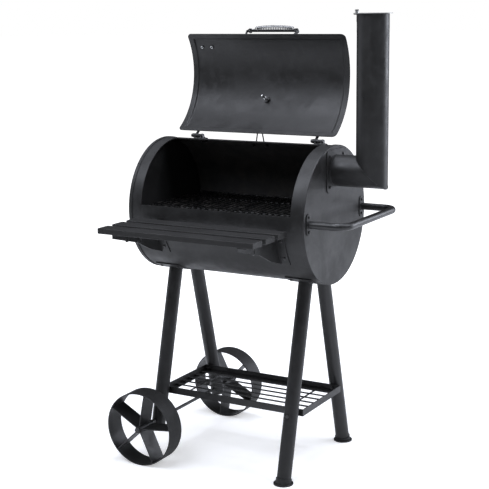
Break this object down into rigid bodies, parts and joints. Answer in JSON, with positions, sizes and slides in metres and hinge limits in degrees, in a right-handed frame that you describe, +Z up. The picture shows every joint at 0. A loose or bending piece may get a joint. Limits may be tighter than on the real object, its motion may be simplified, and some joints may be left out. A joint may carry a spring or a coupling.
{
  "type": "offset smoker",
  "caption": "Barrel smoker grill on two legs and two spoked wheels, with a hinged lid, side chimney with damper, push handle, slatted front shelf and wire rack.",
  "frame": {"origin": "on the ground, under the middle of the whole object's bounding box", "axes": "+X along the barrel to the chimney end, +Y from the shelf side to the hinge side, +Z up"},
  "size_m": [0.794, 0.701, 1.3379],
  "materials": {
    "barrel_paint": "satin heat-resistant black paint with a fine grain",
    "lid_paint": "satin heat-resistant black paint with a fine grain",
    "chimney_paint": "satin heat-resistant black paint",
    "damper_steel": "zinc-plated sheet",
    "push_gloss": "gloss black powder coat",
    "shelf_paint": "solid wood painted satin black",
    "bracket_paint": "satin black powder coat",
    "leg_paint": "satin black powder coat",
    "wheel_paint": "satin black powder coat with light scuffs on the tread",
    "rack_paint": "satin black powder coat",
    "grate_enamel": "black porcelain enamel on steel wire",
    "foot_plastic": "moulded matte black",
    "coil_steel": "bright spring wire",
    "fastener_black": "black oxide",
    "fastener_zinc": "bright zinc plate",
    "hinge_steel": "dark plated steel",
    "thermometer_bezel": "polished steel",
    "thermometer_nut_black": "black oxide",
    "thermometer_face": "matte off-white",
    "thermometer_needle": "matte red",
    "thermometer_glass": "clear flat glass"
  },
  "bodies": {
    "cooker": {"barrel_shell": "barrel_paint", "end_plate_left": "barrel_paint", "end_plate_right": "barrel_paint", "hinge_brackets": "barrel_paint", "lid_stop": "barrel_paint", "saddles": "barrel_paint", "push_plates": "barrel_paint", "chimney_flange": "barrel_paint", "chimney_pipe": "chimney_paint", "chimney_elbow": "chimney_paint", "damper_lug": "chimney_paint", "push_handle": "push_gloss", "shelf_slat_front": "shelf_paint", "shelf_slat_middle": "shelf_paint", "shelf_slat_back": "shelf_paint", "shelf_bracket_left": "bracket_paint", "shelf_bracket_right": "bracket_paint", "tool_hooks": "bracket_paint", "leg_front_left": "leg_paint", "leg_back_left": "leg_paint", "leg_front_right": "leg_paint", "leg_back_right": "leg_paint", "rack_frame": "rack_paint", "rack_rods": "rack_paint", "grate_ledges": "grate_enamel", "foot_front": "foot_plastic", "foot_back": "foot_plastic", "barrel_bolts": "fastener_black", "barrel_nuts": "fastener_black", "rack_bolts": "fastener_black", "shelf_screws": "fastener_black", "axle_nuts": "fastener_black", "axle": "fastener_black", "axle_washers": "fastener_black", "axle_spacers": "fastener_black", "hinge_spacers": "fastener_black", "damper_bolt": "fastener_zinc", "damper_spacer": "fastener_zinc", "hinge_pins": "hinge_steel"},
    "lid": {"lid": "lid_paint", "hinge_straps": "lid_paint", "handle_bridge": "lid_paint", "handle_coil": "coil_steel", "handle_bolts": "fastener_black", "lid_nuts": "fastener_zinc", "badge_plate": "lid_paint", "badge_bolts": "fastener_black", "thermometer_housing": "thermometer_bezel", "thermometer_dial": "thermometer_face", "thermometer_glass": "thermometer_glass", "thermometer_nut": "thermometer_nut_black"},
    "needle": {"thermometer_needle": "thermometer_needle"},
    "damper": {"damper_disc": "damper_steel"},
    "wheel_front": {"wheel_front_rim": "wheel_paint", "wheel_front_spider": "wheel_paint"},
    "wheel_back": {"wheel_back_rim": "wheel_paint", "wheel_back_spider": "wheel_paint"},
    "grate_left": {"cooking_grate_left": "grate_enamel"},
    "grate_right": {"cooking_grate_right": "grate_enamel"},
    "charcoal_tray": {"charcoal_grate": "grate_enamel"}
  },
  "joints": [
    {"name": "lid_hinge", "type": "hinge", "parent": "cooker", "child": "lid", "pos_m": [-0.06, 0.091, 0.965], "axis": [1, 0, 0], "range_deg": [0, 146]},
    {"name": "damper_swivel", "type": "hinge", "parent": "cooker", "child": "damper", "pos_m": [0.294, 0.061, 1.3274], "axis": [0, 0, 1], "range_deg": [-150, 150]},
    {"name": "wheel_front_spin", "type": "hinge", "parent": "cooker", "child": "wheel_front", "pos_m": [-0.285, -0.187, 0.112], "axis": [0, 1, 0], "continuous": true},
    {"name": "wheel_back_spin", "type": "hinge", "parent": "cooker", "child": "wheel_back", "pos_m": [-0.285, 0.309, 0.112], "axis": [0, 1, 0], "continuous": true},
    {"name": "grate_left_lift", "type": "slide", "parent": "cooker", "child": "grate_left", "axis": [0, 0, 1], "range_m": [0, 0.03]},
    {"name": "grate_right_lift", "type": "slide", "parent": "cooker", "child": "grate_right", "axis": [0, 0, 1], "range_m": [0, 0.03]},
    {"name": "charcoal_lift", "type": "slide", "parent": "cooker", "child": "charcoal_tray", "axis": [0, 0, 1], "range_m": [0, 0.05]},
    {"name": "needle_turn", "type": "hinge", "parent": "lid", "child": "needle", "pos_m": [-0.06, 0.19614, 1.06919], "axis": [0, 0.9198, -0.3923], "range_deg": [-270, 0], "stiffness_Nm_per_rad": 0.001}
  ]
}
